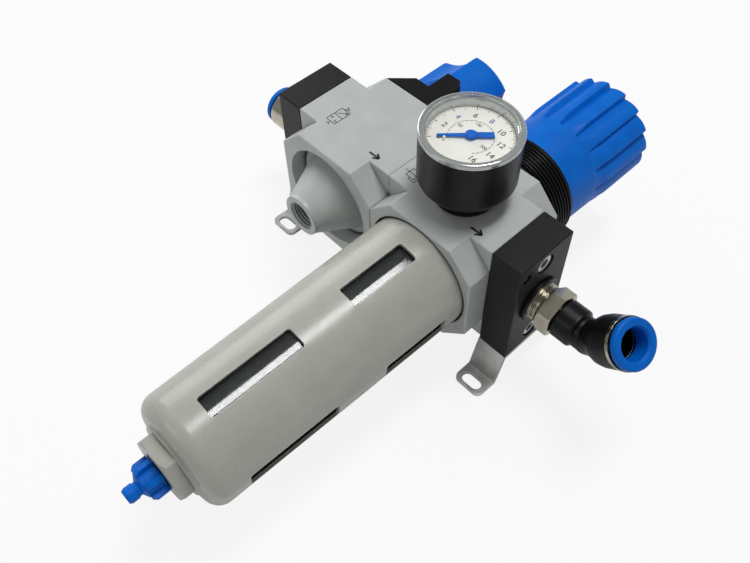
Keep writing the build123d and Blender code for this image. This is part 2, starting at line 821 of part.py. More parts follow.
def movement_frame():
    """Two bridge plates on pillars behind the dial, which bear the arbor and the sector."""
    outline = Pos(0, -sector_pivot / 2) * RectangleRounded(17.0, 19.0, 2.5)
    outline &= Circle(dial_r)
    plates = extrude(Pos(0, 0, frame_low - 1.0) * outline, 1.2)
    plates += extrude(Pos(0, 0, frame_high) * outline, 1.2)
    pillar_x, pillar_r = 7.2, 1.0
    far_pillar = -math.sqrt((dial_r - 2 * pillar_r) ** 2 - pillar_x ** 2)
    for x in (-pillar_x, pillar_x):
        for y in (2.6, far_pillar):
            plates += Pos(x, y, 0) * rod(pillar_r, frame_low, dial_front - dial_thickness)
    plates += rod(stem_boss_r - 3.6, boss_top, frame_low)
    plates -= rod(arbor_r + 0.04, frame_low, frame_high + 3)
    return plates - sector_place * rod(0.6 + running_gap, frame_low, frame_high + 3)


def bourdon_tube():
    """C-shaped pressure tube around the movement."""
    path = CenterArc((0, 0, 0), loop_r, loop_start, loop_end - loop_start)
    section = Plane(path @ 0, x_dir=(0, 0, 1), z_dir=path % 0) * SlotOverall(3.2, 1.6)
    return Pos(0, 0, boss_top - 1.8) * sweep(section, path)


# ---- on-off valve
def valve_plug():
    """Round plug with a cross bore; a quarter turn closes the flow."""
    shape = rod(valve_chamber_r - running_gap, plug_bottom, plug_top)
    shape -= Pos(0, port_offset, 0) * to_right * Cylinder(port_r, 3 * valve_chamber_r)
    return shape


def valve_spindle():
    """Spindle from the plug to the knob, with a square drive on top."""
    shape = rod(spindle_r, plug_top, cover_top + 6)
    shape += rod(8.5, plug_top, plug_top + 1.8)
    groove = tube(spindle_r + 1, spindle_r - 1.2, spindle_seal_height - 1.0, spindle_seal_height + 1.0)
    square = Pos(0, 0, cover_top + 14) * Box(7.0, 7.0, 18.0)
    return shape - groove + square


spindle_seal_height = 24.0


def spindle_seal():
    return Pos(0, 0, spindle_seal_height) * Torus(spindle_r - 0.6, 0.59)


def valve_cover():
    """Black cover over the plug: bevelled front bar with a locking tab, round base behind it."""
    half = module_width / 2 - corner_cut
    front = -axis_depth
    low = body_half_height
    rise = cover_top - low
    tab_left, tab_right = 0.6, 11.0
    outline = Polyline(
        (-half, 0, low), (-half + rise, 0, cover_top), (tab_left, 0, cover_top),
        (tab_left, 0, lock_tab_height), (tab_right - 3.2, 0, lock_tab_height),
        (tab_right, 0, lock_tab_height - 3.2), (tab_right, 0, cover_top - 4.5), (half, 0, low), close=True,
    )
    bar = extrude(make_face(outline), lock_tab_thickness, dir=(0, 1, 0))
    bar = chamfer(bar.faces().sort_by(Axis.Y)[0].edges(), 0.3)
    base = turned([(0, low), (cover_r + 1.5, low), (cover_r - 2.0, cover_top), (0, cover_top)])
    neck = rod(valve_chamber_r - thread_gap, plug_top + 2.2, low)
    shape = Pos(0, front, 0) * bar + base + neck
    return shape - rod(spindle_r + running_gap, plug_top, cover_top + 1)


def scallops():
    cutters = []
    for index in range(scallop_count):
        turn = Rot(0, 0, scallop_turn + index * 360 / scallop_count)
        cutter = rod(scallop_r, valve_knob_bottom - 1, valve_knob_top + 1)
        cutters.append(turn * Pos(scallop_distance, 0, 0) * cutter)
    return cutters


def valve_knob():
    """Turning knob with broad lobes between finger scallops."""
    shape = rod(valve_knob_r, valve_knob_bottom, valve_knob_top)
    shape = fillet(shape.edges().sort_by(Axis.Z)[-1], 2.0)
    shape = shape - scallops() - rod(13.0, valve_knob_bottom - 1, valve_knob_top - 4)
    shape += rod(8.0, cover_top + 7, valve_knob_top - 1)
    square = 7.0 + 2 * thread_gap
    return shape - Pos(0, 0, cover_top + 14) * Box(square, square, 18.4)


def exhaust_cone():
    """Cast exhaust outlet under the valve, with a tapped hole for a silencer."""
    low = -body_half_height
    shape = turned([
        (exhaust_r, -cone_end), (cone_end_r, -cone_end), (cone_end_r + 0.3, -cone_end + 1.8),
        (cone_foot_r, low + pocket_depth - 3.0), (pocket_r - 1.4, low + pocket_depth - 2.0),
        (pocket_r - 1.4, low + pocket_depth), (exhaust_r, low + pocket_depth),
    ])
    return chamfer(shape.edges().filter_by(GeomType.CIRCLE).sort_by(Axis.Z)[0], 0.3)


# ---- push-in fittings, built on +Z away from the plate face
def release_ring(end, flange_r):
    """Plastic ring that frees the tube when it is pressed in; end is its outer face."""
    sleeve_r = tube_r + 1.3
    return turned([
        (tube_r + 0.1, end - ring_flange - release_depth), (sleeve_r, end - ring_flange - release_depth),
        (sleeve_r, end - ring_flange), (flange_r, end - ring_flange), (flange_r, end - 0.5),
        (flange_r - 0.5, end), (tube_r + 0.9, end), (tube_r + 0.1, end - 1.0),
    ])


def collet(end):
    """Slit gripping ring behind the release ring; end is its outer face."""
    shape = turned([
        (tube_r + 0.1, end - 3.0), (tube_r + 1.2, end - 3.0), (tube_r + 1.8, end - 2.0),
        (tube_r + 1.8, end), (tube_r + 0.5, end),
    ])
    for index in range(8):
        shape -= Rot(0, 0, 45 * index) * block((tube_r - 1, tube_r + 3), (-0.3, 0.3), (end - 3.5, end - 1.0))
    return shape


def socket_cutters(end):
    """Space inside a fitting for ring, collet, tube and tube seal; end is the fitting's mouth."""
    collet_top = end - release_depth + 0.2 - ring_travel
    collet_low = collet_top - 3.6
    return [
        rod(tube_r + 1.3 + side_gap, collet_top, end + 1),
        rod(tube_r + 1.8 + 0.05, collet_low, collet_top),
        rod(tube_r, collet_low - socket_length, end + 1),
    ]


inlet_ring_end = inlet_end - module_width - plate_thickness
inlet_mouth = inlet_ring_end - ring_flange - ring_travel - 0.1
fitting_bore_r = 4.8


def inlet_fitting():
    """Nickel-plated straight fitting, its thread inside the plate."""
    head = hexagon(fitting_hex, 0, 5.5) & turned([
        (0, 0), (fitting_hex / 2 + 0.2, 0), (fitting_hex / 2 + 1.6, 1.0), (fitting_hex / 2 + 1.6, 4.7),
        (fitting_hex / 2 + 0.4, 5.5), (0, 5.5)])
    shape = rod(fitting_thread_r, -plate_thickness + 3, 0) + head + rod(9.4, 5.5, inlet_mouth)
    shape = chamfer(shape.edges().filter_by(GeomType.CIRCLE).sort_by(Axis.Z)[-1], 0.6)
    return shape - socket_cutters(inlet_mouth) - rod(fitting_bore_r, -plate_thickness, inlet_mouth)


def outlet_nipple():
    """Nickel-plated nipple: thread in the plate, hexagon and swivel stem."""
    collar = hex_start + hex_length
    head = Rot(0, 0, 30) * hexagon(fitting_hex, hex_start, collar) & turned([
        (0, hex_start), (fitting_hex / 2 - 0.2, hex_start), (fitting_hex / 2 + 1.6, hex_start + 1.2),
        (fitting_hex / 2 + 1.6, collar - 0.6), (fitting_hex / 2 + 0.8, collar), (0, collar)])
    ribs = thread_profile(1.8, hex_start - 0.2, fitting_thread_r)
    thread = turned(
        [(0, -plate_thickness + 3), (fitting_thread_r, -plate_thickness + 3), (fitting_thread_r, 1.7)]
        + ribs + [(fitting_thread_r - thread_depth, hex_start), (0, hex_start)]
    )
    stem = rod(swivel_r, collar, elbow_corner - 6.0)
    stem -= tube(swivel_r + 1, swivel_r - 1.0, swivel_seal - 0.8, swivel_seal + 0.8)
    return thread + head + stem - rod(3.4, -plate_thickness, elbow_corner)


swivel_r = 5.6
swivel_seal = elbow_corner - 8.2


def outlet_washer():
    return turned([
        (fitting_thread_r + thread_gap, 0), (fitting_thread_r + 1.7, 0), (fitting_thread_r + 2.0, 0.3),
        (fitting_thread_r + 2.0, 1.3), (fitting_thread_r + 1.7, 1.6), (fitting_thread_r + thread_gap, 1.6),
    ])


def swivel_ring():
    return Pos(0, 0, swivel_seal) * Torus(swivel_r - 0.5, 0.49)


leg_frame = Pos(0, 0, elbow_corner) * Rot(0, 0, elbow_turn) * Rot(elbow_angle, 0, 0)
elbow_mouth = elbow_leg - ring_flange - ring_travel - 0.1


def elbow_body():
    """Plastic elbow: hexagonal cuff on the nipple, waisted bend, round mouth for the tube."""
    cuff_low = hex_start + hex_length + 0.3
    cuff = rod(elbow_leg_r, cuff_low, elbow_corner - 4.5)
    cuff = chamfer(cuff.edges().sort_by(Axis.Z)[0], 0.6)
    cuff = fillet(cuff.edges().sort_by(Axis.Z)[-1], 1.4)
    cuff += rod(elbow_leg_r - 1.3, cuff_low + 1, elbow_corner + 0.5)
    ball = Pos(0, 0, elbow_corner) * Sphere(elbow_leg_r - 1.2)
    mouth = turned([
        (0, 0), (elbow_leg_r - 1.4, 0), (elbow_leg_r - 0.6, 5.0), (elbow_end_r - 0.5, 10.0),
        (elbow_end_r, 13.0), (elbow_end_r, elbow_mouth - 1.6), (elbow_end_r - 0.7, elbow_mouth - 1.6),
        (elbow_end_r - 0.7, elbow_mouth), (0, elbow_mouth),
    ])
    shape = cuff + ball + leg_frame * mouth
    shape -= rod(swivel_r + running_gap, cuff_low - 1, elbow_corner - 5.6)
    shape -= rod(3.6, cuff_low, elbow_corner + 1)
    shape -= leg_frame * rod(3.6, -1, 8)
    return shape - [leg_frame * cutter for cutter in socket_cutters(elbow_mouth)]


def elbow_band():
    """Thin metal band around the mouth of the elbow."""
    return leg_frame * tube(elbow_end_r + 0.1, elbow_end_r - 0.65, elbow_mouth - 1.55, elbow_mouth - 0.05)


elbow_collet_end = elbow_mouth - release_depth + 0.2 - ring_travel
inlet_collet_end = inlet_mouth - release_depth + 0.2 - ring_travel
outlet_face = Pos(module_width + plate_thickness, port_y, 0) * to_right
inlet_face = Pos(-module_width - plate_thickness, port_y, 0) * to_left
gauge_place = Pos(module_width / 2, front_y, 0) * to_front


def group(solids):
    return Compound(children=list(solids))


screw_rows = (front_y + screw_inset, front_y + plate_depth - screw_inset)
nodes = {
    "regulator_body": regulator * regulator_body(),
    "valve_body": valve * valve_body(),
    "inlet_plate": end_plate(-1),
    "outlet_plate": end_plate(1),
    "plate_screws": group(plate_screw(side, y) for side in (-1, 1) for y in screw_rows),
    "coding_pins": group(coding_pin(side) for side in (-1, 1)),
    "module_studs": group(module_stud(y) for y in (front_screw_offset, back_screw_offset)),
    "port_seals": group(face_seal(x) for x in (-module_width, 0)),
    "wall_foot_left": wall_foot(-1),
    "wall_foot_right": wall_foot(1),
    "foot_screws": group(foot_screw(side, z) for side in (-1, 1) for z in foot_screw_heights),
    "bowl_guard": regulator * bowl_guard(),
    "bowl": regulator * bowl(),
    "bowl_seal": regulator * bowl_seal(),
    "drain_knob": regulator * drain_knob(),
    "drain_stem": regulator * drain_stem(),
    "drain_seal": regulator * drain_seal(),
    "valve_cage": regulator * valve_cage(),
    "swirl_vane": regulator * swirl_vane(),
    "filter_element": regulator * filter_element(),
    "baffle": regulator * baffle(),
    "filter_rod": regulator * filter_rod(),
    "valve_seat": regulator * valve_seat(),
    "poppet": regulator * poppet(),
    "poppet_spring": regulator * poppet_spring(),
    "valve_stem": regulator * valve_stem(),
    "diaphragm": regulator * diaphragm(),
    "diaphragm_plate": regulator * diaphragm_plate(),
    "main_spring": regulator * main_spring(),
    "spring_nut": regulator * spring_nut(),
    "adjusting_screw": regulator * adjusting_screw(),
    "bonnet": regulator * bonnet(),
    "regulator_knob": regulator * regulator_knob(),
    "gauge_case": gauge_place * gauge_case(),
    "gauge_stem": gauge_place * gauge_stem(),
    "gauge_bezel": gauge_place * gauge_bezel(),
    "gauge_lens": gauge_place * gauge_lens(),
    "gauge_dial": gauge_place * gauge_dial(),
    "gauge_needle": gauge_place * gauge_needle(),
    "pinion_arbor": gauge_place * pinion_arbor(),
    "sector_gear": gauge_place * sector_gear(),
    "movement_frame": gauge_place * movement_frame(),
    "bourdon_tube": gauge_place * bourdon_tube(),
    "valve_plug": valve * valve_plug(),
    "valve_spindle": valve * valve_spindle(),
    "spindle_seal": valve * spindle_seal(),
    "valve_cover": valve * valve_cover(),
    "valve_knob": valve * valve_knob(),
    "exhaust_cone": valve * exhaust_cone(),
    "inlet_fitting": inlet_face * inlet_fitting(),
    "inlet_ring": inlet_face * release_ring(inlet_ring_end, ring_r),
    "inlet_collet": inlet_face * collet(inlet_collet_end),
    "outlet_nipple": outlet_face * outlet_nipple(),
    "outlet_washer": outlet_face * outlet_washer(),
    "swivel_ring": outlet_face * swivel_ring(),
    "elbow_body": outlet_face * elbow_body(),
    "elbow_band": outlet_face * elbow_band(),
    "outlet_ring": outlet_face * leg_frame * release_ring(elbow_leg, elbow_ring_r),
    "outlet_collet": outlet_face * leg_frame * collet(elbow_collet_end),
}
for node, shape in nodes.items():
    save(node, shape)
print(len(nodes), "nodes written")
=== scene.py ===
import math

import bmesh
import bpy
import numpy as np
from mathutils import Matrix, Vector


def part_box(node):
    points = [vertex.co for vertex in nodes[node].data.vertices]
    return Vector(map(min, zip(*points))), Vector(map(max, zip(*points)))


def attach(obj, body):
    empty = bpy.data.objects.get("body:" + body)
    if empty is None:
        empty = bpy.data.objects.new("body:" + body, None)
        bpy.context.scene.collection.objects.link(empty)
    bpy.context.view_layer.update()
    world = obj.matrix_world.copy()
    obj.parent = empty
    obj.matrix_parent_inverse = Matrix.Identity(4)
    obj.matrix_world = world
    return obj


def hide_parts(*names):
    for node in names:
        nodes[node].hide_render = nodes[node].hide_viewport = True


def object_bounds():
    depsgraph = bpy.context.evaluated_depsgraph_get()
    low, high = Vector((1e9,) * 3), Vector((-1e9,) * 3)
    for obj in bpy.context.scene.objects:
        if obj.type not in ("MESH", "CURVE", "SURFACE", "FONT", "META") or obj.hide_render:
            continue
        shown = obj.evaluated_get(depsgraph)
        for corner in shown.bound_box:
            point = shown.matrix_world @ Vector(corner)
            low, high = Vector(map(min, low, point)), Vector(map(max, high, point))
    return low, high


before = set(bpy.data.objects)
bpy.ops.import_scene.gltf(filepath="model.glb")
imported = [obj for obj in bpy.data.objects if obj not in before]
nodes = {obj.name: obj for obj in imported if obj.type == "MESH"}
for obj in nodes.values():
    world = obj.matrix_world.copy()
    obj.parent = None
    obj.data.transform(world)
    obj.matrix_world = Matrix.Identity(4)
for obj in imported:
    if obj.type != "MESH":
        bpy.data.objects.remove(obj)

mm = 0.001
cadBox = [list(corner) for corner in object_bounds()]
print("frame loaded:", len(nodes), "nodes")


def linearColour(hexCode):
    # sRGB hex to linear, by the standard curve on each channel
    channels = np.array([int(hexCode[i:i + 2], 16) for i in (1, 3, 5)]) / 255
    linear = np.where(channels <= 0.04045, channels / 12.92, ((channels + 0.055) / 1.055) ** 2.4)
    return (*linear.tolist(), 1.0)


def addNode(tree, kind, inputs=None, **settings):
    # inputs holds plain values, or the sockets to link
    node = tree.nodes.new(kind)
    for key, value in settings.items():
        setattr(node, key, value)
    for key, value in (inputs or {}).items():
        if isinstance(value, bpy.types.NodeSocket):
            tree.links.new(value, node.inputs[key])
        else:
            node.inputs[key].default_value = value
    return node


def startMaterial(name):
    # an empty tree with its output and the object coordinates in metres
    material = bpy.data.materials.new(name)
    material.use_nodes = True
    tree = material.node_tree
    tree.nodes.clear()
    output = addNode(tree, "ShaderNodeOutputMaterial")
    coords = addNode(tree, "ShaderNodeTexCoord").outputs["Object"]
    return material, tree, output, coords


def perMetre(grain):
    # noise scale for a grain size in millimetres
    return 1.0 / (grain * mm)


def noiseBetween(tree, coords, grain, low, high, detail=3.0):
    # noise stretched to run from low to high
    noise = addNode(tree, "ShaderNodeTexNoise", {
        "Vector": coords, "Scale": perMetre(grain), "Detail": detail,
    })
    return addNode(tree, "ShaderNodeMapRange", {
        "Value": noise.outputs["Fac"], "From Min": 0.3, "From Max": 0.7, "To Min": low, "To Max": high,
    }).outputs["Result"]


def tintedColour(tree, factor, first, second):
    # first and second are hex codes or colour sockets
    ends = [linearColour(end) if isinstance(end, str) else end for end in (first, second)]
    return addNode(tree, "ShaderNodeMix", {0: factor, 6: ends[0], 7: ends[1]}, data_type="RGBA").outputs[2]


def vectorMath(tree, operation, *values):
    return addNode(tree, "ShaderNodeVectorMath", dict(enumerate(values)), operation=operation)


def edgeWear(tree, coords, edge):
    # 1 where the bevel node turns the normal away from the face, broken up by noise; edge in millimetres
    rounded = addNode(tree, "ShaderNodeBevel", {"Radius": edge * mm}, samples=6).outputs["Normal"]
    flat = addNode(tree, "ShaderNodeNewGeometry").outputs["Normal"]
    along = vectorMath(tree, "DOT_PRODUCT", rounded, flat).outputs["Value"]
    patches = noiseBetween(tree, coords, 1.5, 0.9, 0.97)
    return addNode(tree, "ShaderNodeMapRange", {
        "Value": along, "From Min": patches, "From Max": 0.8, "To Min": 0.0, "To Max": 1.0,
    }).outputs["Result"]


def dustyCrevices(tree, colour, shadeColour, reach):
    # painted shade: darker in gaps and corners, where shade falls, found by ambient occlusion; reach in
    # millimetres
    openness = addNode(tree, "ShaderNodeAmbientOcclusion", {"Distance": reach * mm}, samples=8).outputs["AO"]
    share = addNode(tree, "ShaderNodeMapRange", {
        "Value": openness, "From Min": 0.15, "From Max": 0.65, "To Min": 1.0, "To Max": 0.0,
    }).outputs["Result"]
    return tintedColour(tree, share, colour, shadeColour)


def surfaceNormal(tree, coords, grain, height, edge, strength=1.0):
    # rounded edges from the bevel node, with a fine bump on top; grain, height and edge in millimetres
    rounded = addNode(tree, "ShaderNodeBevel", {"Radius": edge * mm}, samples=6).outputs["Normal"]
    noise = addNode(tree, "ShaderNodeTexNoise", {"Vector": coords, "Scale": perMetre(grain), "Detail": 2.0})
    return addNode(tree, "ShaderNodeBump", {
        "Strength": strength, "Distance": height * mm, "Height": noise.outputs["Fac"], "Normal": rounded,
    }).outputs["Normal"]


def dieCastEnamel():
    # light grey stove enamel on die-cast alloy: satin, very slightly mottled, with fine orange peel
    material, tree, output, coords = startMaterial("dieCastEnamel")
    colour = tintedColour(tree, noiseBetween(tree, coords, 9.0, 0.0, 1.0), "#B4B9B7", "#BCC1BE")
    # painted shade: the base colour darkens towards #3B3F3D in gaps, recesses and joints between modules
    shader = addNode(tree, "ShaderNodeBsdfPrincipled", {
        "Base Color": dustyCrevices(tree, colour, "#3B3F3D", 3.0),
        "Roughness": noiseBetween(tree, coords, 2.5, 0.34, 0.42),
        "Normal": surfaceNormal(tree, coords, 1.5, 0.02, 0.7, 0.4),
    })
    tree.links.new(shader.outputs["BSDF"], output.inputs["Surface"])
    return material


guardShape = dict(topR=24.9, bottomR=23.4, wall=1.3, height=126.0, floor=12.0)


def guardInside(tree, coords):
    # 1 on the inner wall, which is painted near black as shade: radius under the tapering outer radius less
    # the wall, and above the rounded floor
    g = guardShape
    low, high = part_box("bowl_guard")
    centre = ((low.x + high.x) / 2, (low.y + high.y) / 2, low.z + g["floor"] * mm)
    away = vectorMath(tree, "SUBTRACT", coords, centre).outputs[0]
    flat = vectorMath(tree, "MULTIPLY", away, (1.0, 1.0, 0.0)).outputs[0]
    radius = vectorMath(tree, "LENGTH", flat).outputs["Value"]
    above = addNode(tree, "ShaderNodeSeparateXYZ", {0: away}).outputs["Z"]
    wall = addNode(tree, "ShaderNodeMapRange", {
        "Value": above, "From Min": 0.0, "From Max": g["height"] * mm,
        "To Min": (g["bottomR"] - g["wall"]) * mm, "To Max": (g["topR"] - g["wall"]) * mm,
    }).outputs["Result"]
    under = addNode(tree, "ShaderNodeMath", {0: radius, 1: wall}, operation="LESS_THAN").outputs[0]
    aboveFloor = addNode(tree, "ShaderNodeMath", {0: above, 1: 0.0}, operation="GREATER_THAN").outputs[0]
    return addNode(tree, "ShaderNodeMath", {0: under, 1: aboveFloor}, operation="MULTIPLY").outputs[0]


def guardEnamel():
    # glossier, warmer grey enamel on the drawn sheet of the bowl guard; paler at the edges, partly paint
    # rubbed thin and partly a painted highlight; painted shade on the inner wall and in the gaps
    material, tree, output, coords = startMaterial("guardEnamel")
    colour = tintedColour(tree, noiseBetween(tree, coords, 14.0, 0.0, 1.0), "#ADAEA5", "#B4B5AC")
    # pale edges (#E2E2DC): partly paint rubbed thin, partly a painted highlight along the edges
    wornAndHighlitEdges = tintedColour(tree, edgeWear(tree, coords, 0.5), colour, "#E2E2DC")
    # painted shade: the inner wall, seen through the windows, is coloured near black (#1C1E1C)
    inside = guardInside(tree, coords)
    # painted shade: darker towards #1E201E in gaps, such as the ring where the guard meets the body
    shader = addNode(tree, "ShaderNodeBsdfPrincipled", {
        "Base Color": dustyCrevices(tree, tintedColour(tree, inside, wornAndHighlitEdges, "#1C1E1C"), "#1E201E", 2.0),
        "Roughness": noiseBetween(tree, coords, 3.0, 0.24, 0.3),
        "Normal": surfaceNormal(tree, coords, 2.0, 0.004, 0.4, 0.15),
    })
    tree.links.new(shader.outputs["BSDF"], output.inputs["Surface"])
    return material


def blackAnodised():
    # black anodised aluminium: dull, faintly brown-blue black, with fine milling lines along the height
    material, tree, output, coords = startMaterial("blackAnodised")
    stretch = addNode(tree, "ShaderNodeMapping", {"Vector": coords, "Scale": (1.0, 12.0, 1.0)})
    lines = stretch.outputs["Vector"]
    colour = tintedColour(tree, noiseBetween(tree, coords, 6.0, 0.0, 1.0), "#0D0E10", "#131315")
    shader = addNode(tree, "ShaderNodeBsdfPrincipled", {
        "Base Color": colour, "Specular IOR Level": 0.3,
        "Roughness": noiseBetween(tree, lines, 4.0, 0.42, 0.5),
        "Normal": surfaceNormal(tree, lines, 3.0, 0.02, 0.4, 0.5),
    })
    tree.links.new(shader.outputs["BSDF"], output.inputs["Surface"])
    return material


def zincPlate():
    # bright zinc plating on pressed steel: cloudy grey with a faint yellow-blue passivation
    material, tree, output, coords = startMaterial("zincPlate")
    colour = tintedColour(tree, noiseBetween(tree, coords, 3.5, 0.0, 1.0), "#C9CCCC", "#DAD9D2")
    shader = addNode(tree, "ShaderNodeBsdfPrincipled", {
        "Base Color": colour, "Metallic": 1.0, "Roughness": noiseBetween(tree, coords, 5.0, 0.26, 0.36),
        "Normal": surfaceNormal(tree, coords, 4.0, 0.02, 0.25, 0.3),
    })
    tree.links.new(shader.outputs["BSDF"], output.inputs["Surface"])
    return material


def mouldedPlastic(name, dark, light, rough, grain, edge, sheen=0.4):
    # injection-moulded plastic: even colour, soft sheen, spark-eroded grain that breaks up the highlight
    material, tree, output, coords = startMaterial(name)
    colour = tintedColour(tree, noiseBetween(tree, coords, 7.0, 0.0, 1.0), dark, light)
    shader = addNode(tree, "ShaderNodeBsdfPrincipled", {
        "Base Color": colour, "Roughness": noiseBetween(tree, coords, 1.5, rough - 0.05, rough + 0.05),
        "Specular IOR Level": sheen, "Normal": surfaceNormal(tree, coords, grain, 0.02, edge, 0.6),
    })
    tree.links.new(shader.outputs["BSDF"], output.inputs["Surface"])
    return material


def blueAcetal():
    # vivid blue acetal of knobs and rings
    return mouldedPlastic("blueAcetal", "#0066CC", "#006ED6", 0.42, 0.5, 0.4, 0.15)


def blackNylon():
    # black glass-filled nylon of covers, gauge case and elbow
    return mouldedPlastic("blackNylon", "#08090A", "#0D0E0F", 0.36, 0.6, 0.35, 0.25)


def offWhiteAcetal():
    return mouldedPlastic("offWhiteAcetal", "#D2D0C6", "#DAD8CF", 0.45, 0.6, 0.2)


def nitrileRubber():
    # black nitrile: matt
    return mouldedPlastic("nitrileRubber", "#161616", "#1D1D1C", 0.7, 0.4, 0.1)


def barMetal(name, dark, light, rough, grain):
    # turned metal: fine tool rings break the reflection
    material, tree, output, coords = startMaterial(name)
    colour = tintedColour(tree, noiseBetween(tree, coords, 4.0, 0.0, 1.0), dark, light)
    shader = addNode(tree, "ShaderNodeBsdfPrincipled", {
        "Base Color": colour, "Metallic": 1.0,
        "Roughness": noiseBetween(tree, coords, 1.0, rough - 0.04, rough + 0.05),
        "Normal": surfaceNormal(tree, coords, grain, 0.01, 0.3, 0.5),
    })
    tree.links.new(shader.outputs["BSDF"], output.inputs["Surface"])
    return material


def nickelPlate():
    # bright nickel on brass, slightly warm
    return barMetal("nickelPlate", "#B9B3A2", "#C9C4B4", 0.2, 0.6)


def turnedBrass():
    return barMetal("turnedBrass", "#C09A55", "#CDA964", 0.3, 0.5)


def springSteel():
    return barMetal("springSteel", "#85888B", "#93969A", 0.35, 0.4)


def smokedPolycarbonate():
    # clear polycarbonate bowl, smoked by oil: dark where nothing is behind it
    material, tree, output, coords = startMaterial("smokedPolycarbonate")
    shader = addNode(tree, "ShaderNodeBsdfPrincipled", {
        "Base Color": linearColour("#8E9693"), "Roughness": noiseBetween(tree, coords, 9.0, 0.06, 0.11),
        "IOR": 1.5, "Transmission Weight": 0.92,
    })
    tree.links.new(shader.outputs["BSDF"], output.inputs["Surface"])
    return material


def clearLens():
    # flat clear lens: nearly invisible, with a hard reflection
    material, tree, output, coords = startMaterial("clearLens")
    shader = addNode(tree, "ShaderNodeBsdfPrincipled", {
        "Base Color": linearColour("#8A9090"), "Roughness": noiseBetween(tree, coords, 9.0, 0.02, 0.05),
        "IOR": 1.49, "Alpha": 0.03,
    })
    tree.links.new(shader.outputs["BSDF"], output.inputs["Surface"])
    return material


def clearRim():
    # silvery clear bezel over a bright seat: its moulded rings catch the light
    material, tree, output, coords = startMaterial("clearRim")
    shader = addNode(tree, "ShaderNodeBsdfPrincipled", {
        "Base Color": linearColour("#DADFDE"), "Roughness": noiseBetween(tree, coords, 3.0, 0.06, 0.14),
        "Metallic": 0.6, "Alpha": 0.75, "Coat Weight": 0.5, "Coat Roughness": 0.05,
    })
    tree.links.new(shader.outputs["BSDF"], output.inputs["Surface"])
    return material


def dialEnamel():
    # matt cream-white enamel of the dial
    material, tree, output, coords = startMaterial("dialEnamel")
    colour = tintedColour(tree, noiseBetween(tree, coords, 8.0, 0.0, 1.0), "#FAF8EE", "#FDFCF5")
    shader = addNode(tree, "ShaderNodeBsdfPrincipled", {
        "Base Color": colour, "Roughness": noiseBetween(tree, coords, 2.0, 0.5, 0.6),
    })
    tree.links.new(shader.outputs["BSDF"], output.inputs["Surface"])
    return material


def sinteredPolyethylene():
    # sintered filter element: yellowish white, grains of 0.3 mm drawn at 0.8 mm so that they show
    material, tree, output, coords = startMaterial("sinteredPolyethylene")
    colour = tintedColour(tree, noiseBetween(tree, coords, 3.0, 0.0, 1.0), "#D6C892", "#EBE2BC")
    grains = addNode(tree, "ShaderNodeTexVoronoi", {"Vector": coords, "Scale": perMetre(0.8)})
    bump = addNode(tree, "ShaderNodeBump", {
        "Strength": 0.7, "Distance": 0.1 * mm, "Height": grains.outputs["Distance"],
    })
    shader = addNode(tree, "ShaderNodeBsdfPrincipled", {
        "Base Color": colour, "Roughness": noiseBetween(tree, coords, 1.0, 0.75, 0.9),
        "Normal": bump.outputs["Normal"],
    })
    tree.links.new(shader.outputs["BSDF"], output.inputs["Surface"])
    return material


def printInk(name, dark, light):
    # pad-printed ink: thin, matt, slightly uneven
    material, tree, output, coords = startMaterial(name)
    colour = tintedColour(tree, noiseBetween(tree, coords, 0.6, 0.0, 1.0), dark, light)
    shader = addNode(tree, "ShaderNodeBsdfPrincipled", {
        "Base Color": colour, "Roughness": noiseBetween(tree, coords, 1.5, 0.45, 0.6),
    })
    tree.links.new(shader.outputs["BSDF"], output.inputs["Surface"])
    return material


enamel = dieCastEnamel()
guardPaint = guardEnamel()
anodised = blackAnodised()
zinc = zincPlate()
blue = blueAcetal()
black = blackNylon()
offWhite = offWhiteAcetal()
rubber = nitrileRubber()
nickel = nickelPlate()
brass = turnedBrass()
steel = springSteel()
smoked = smokedPolycarbonate()
lens = clearLens()
rim = clearRim()
dialWhite = dialEnamel()
porous = sinteredPolyethylene()
blackInk = printInk("blackInk", "#141414", "#222222")
blueInk = printInk("blueInk", "#1558B8", "#1F66C4")
redInk = printInk("redInk", "#B3201C", "#C22A22")
print("materials made")

nodeMaterials = {
    enamel: ["regulator_body", "valve_body", "exhaust_cone"],
    guardPaint: ["bowl_guard"],
    anodised: ["inlet_plate", "outlet_plate"],
    zinc: ["plate_screws", "coding_pins", "module_studs", "wall_foot_left", "wall_foot_right", "foot_screws",
           "adjusting_screw", "diaphragm_plate"],
    blue: ["drain_knob", "regulator_knob", "valve_knob", "inlet_ring", "outlet_ring", "gauge_needle"],
    black: ["valve_cage", "swirl_vane", "baffle", "filter_rod", "bonnet", "gauge_case", "valve_cover",
            "outlet_washer", "elbow_body"],
    offWhite: ["drain_stem"],
    rubber: ["port_seals", "bowl_seal", "drain_seal", "poppet", "diaphragm", "spindle_seal", "swivel_ring"],
    nickel: ["valve_plug", "inlet_fitting", "outlet_nipple", "elbow_band"],
    brass: ["valve_seat", "valve_stem", "spring_nut", "gauge_stem", "pinion_arbor", "sector_gear",
            "movement_frame", "bourdon_tube", "valve_spindle"],
    steel: ["poppet_spring", "main_spring", "inlet_collet", "outlet_collet"],
    smoked: ["bowl"],
    lens: ["gauge_lens"],
    rim: ["gauge_bezel"],
    dialWhite: ["gauge_dial"],
    porous: ["filter_element"],
}
for material, names in nodeMaterials.items():
    for name in names:
        mesh = nodes[name].data
        mesh.materials.clear()
        mesh.materials.append(material)


def shellObject(name, grid, material, body):
    # a grid of points, rows by columns, as quads; columns close round, and rows of one point are merged
    rows, columns = grid.shape[:2]
    points = grid.reshape(-1, 3)
    index = np.arange(rows * columns).reshape(rows, columns)
    after = np.roll(index, -1, axis=1)
    faces = np.stack([index[:-1], after[:-1], after[1:], index[1:]], axis=-1).reshape(-1, 4)
    mesh = bpy.data.meshes.new(name)
    mesh.from_pydata(points.tolist(), [], faces.tolist())
    return finishMesh(name, mesh, material, body)


